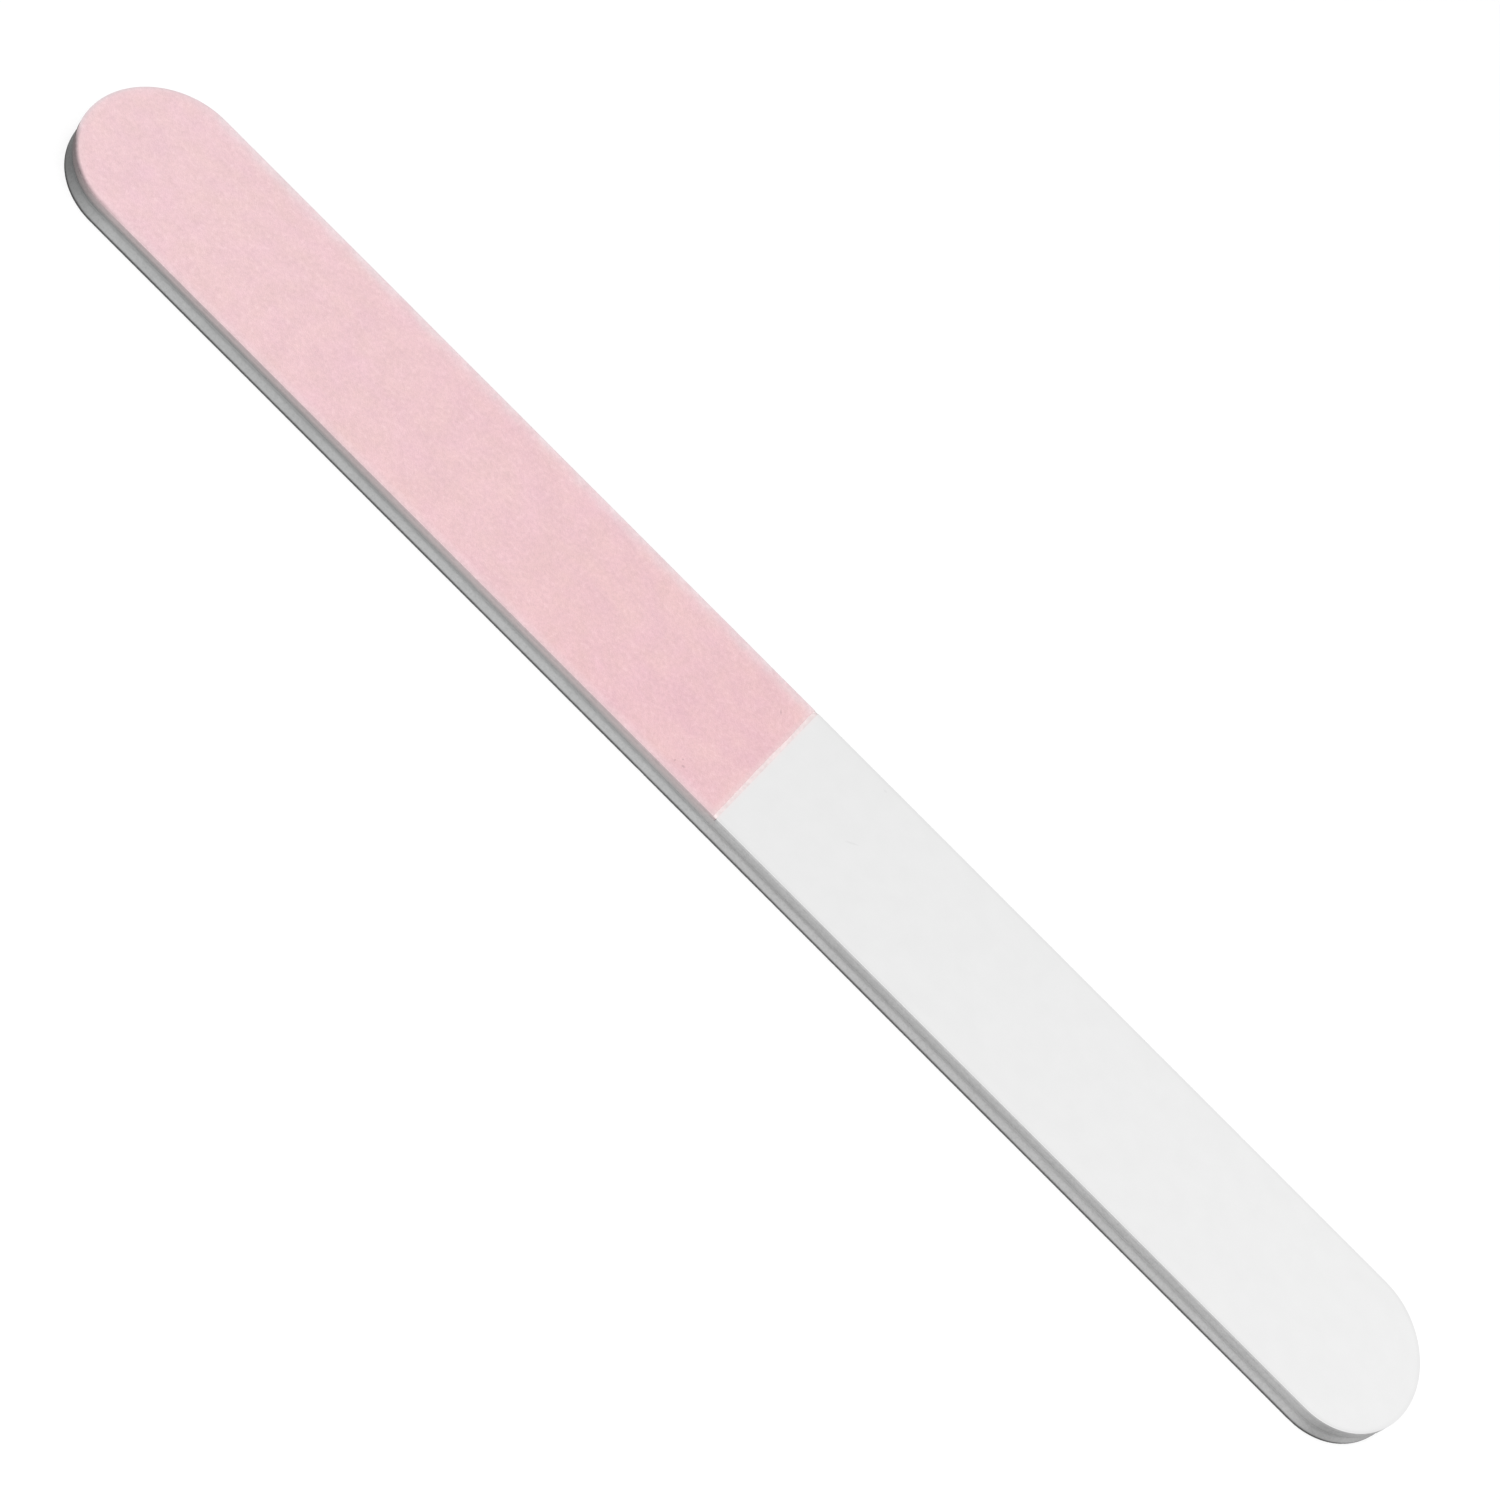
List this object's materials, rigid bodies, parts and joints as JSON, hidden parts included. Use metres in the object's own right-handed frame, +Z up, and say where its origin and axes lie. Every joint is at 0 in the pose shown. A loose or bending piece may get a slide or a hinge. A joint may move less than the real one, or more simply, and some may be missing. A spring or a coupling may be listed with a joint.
{
  "type": "nail buffer file",
  "caption": "Slim straight buffer file with rounded ends: pink grit and white polishing sheets end to end on top, a grey grit sheet below, on cushioning foam around a stiff board.",
  "frame": {"origin": "centre of the underside", "axes": "+X along the file towards the white end, +Z up out of the pink and white side, +Y across it"},
  "size_m": [0.178, 0.019, 0.003],
  "materials": {
    "grey_grit": "coarse matte grit in a grey resin",
    "grey_backing": "matte grey latex paper",
    "adhesive": "clear glue film, seen only as a thin line at the cut edge",
    "foam": "matte light grey closed-cell foam, knife cut",
    "core": "satin sheet plastic, knife cut",
    "pink_backing": "matte pale pink latex paper",
    "pink_grit": "fine matte pink grit",
    "white_backing": "matte white latex paper",
    "white_polish": "smooth matte white polishing surface"
  },
  "bodies": {
    "root": {"grey_grit_coat": "grey_grit", "grey_sheet_backing": "grey_backing", "grey_sheet_adhesive": "adhesive", "lower_foam": "foam", "lower_core_adhesive": "adhesive", "core_board": "core", "upper_core_adhesive": "adhesive", "upper_foam": "foam", "pink_sheet_adhesive": "adhesive", "pink_sheet_backing": "pink_backing", "pink_grit_coat": "pink_grit", "white_sheet_adhesive": "adhesive", "white_sheet_backing": "white_backing", "white_polishing_coat": "white_polish"}
  },
  "joints": []
}
